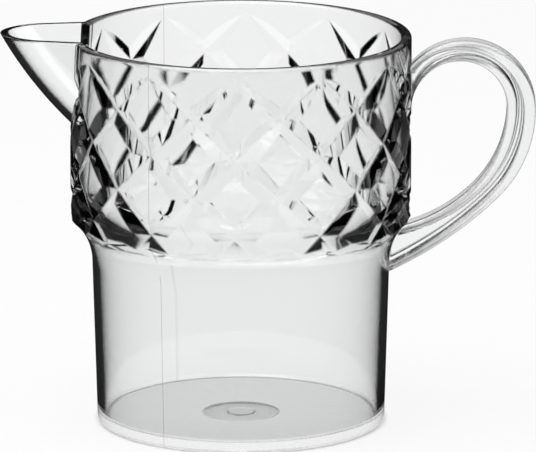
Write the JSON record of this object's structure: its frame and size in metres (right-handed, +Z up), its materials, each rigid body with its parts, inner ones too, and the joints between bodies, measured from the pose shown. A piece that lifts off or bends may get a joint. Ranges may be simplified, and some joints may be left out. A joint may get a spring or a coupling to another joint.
{
  "type": "beer pitcher",
  "caption": "Clear moulded plastic jug with a diamond-cut upper band, a narrower plain lower cup, an open pouring spout and an I-section loop handle.",
  "frame": {"origin": "centre of the flat base, on the axis of the body", "axes": "+Z up along the body's axis, +X from the axis towards the handle; the spout points along -X"},
  "size_m": [0.2156, 0.1376, 0.1593],
  "materials": {
    "clear_plastic": "polished, clear"
  },
  "bodies": {
    "root": {"vessel": "clear_plastic", "spout": "clear_plastic", "handle": "clear_plastic"}
  },
  "joints": []
}
